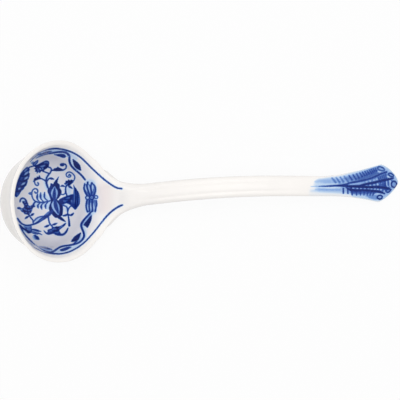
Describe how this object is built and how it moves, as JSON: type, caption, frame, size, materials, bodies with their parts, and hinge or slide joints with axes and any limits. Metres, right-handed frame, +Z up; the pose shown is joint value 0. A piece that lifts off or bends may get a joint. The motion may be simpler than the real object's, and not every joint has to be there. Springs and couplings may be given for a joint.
{
  "type": "porcelain soup ladle",
  "caption": "Round porcelain ladle with a flared lip, an arched handle that ends in a fan of plumes, and blue floral painting inside the bowl.",
  "frame": {"origin": "middle of the flat under the bowl, on the table that the ladle lies on", "axes": "+X along the handle from the bowl to the fan, +Z up from the table, +Y to the left of the handle"},
  "size_m": [0.3019, 0.0911, 0.0724],
  "materials": {
    "porcelain": "clear glossy glaze over white porcelain",
    "slip": "fired porcelain slip under the glaze",
    "washed_porcelain": "glossy glaze over a streaky cobalt wash",
    "cobalt": "brushed cobalt under a clear glaze"
  },
  "bodies": {
    "root": {"bowl": "porcelain", "neck_slip_joint": "slip", "handle_shank": "porcelain", "fan_slip_joint": "slip", "fan_terminal": "washed_porcelain", "rim_line": "cobalt", "border_vines": "cobalt", "border_bud": "cobalt", "border_fruit": "cobalt", "centre_blossom": "cobalt", "centre_sprays": "cobalt"}
  },
  "joints": []
}
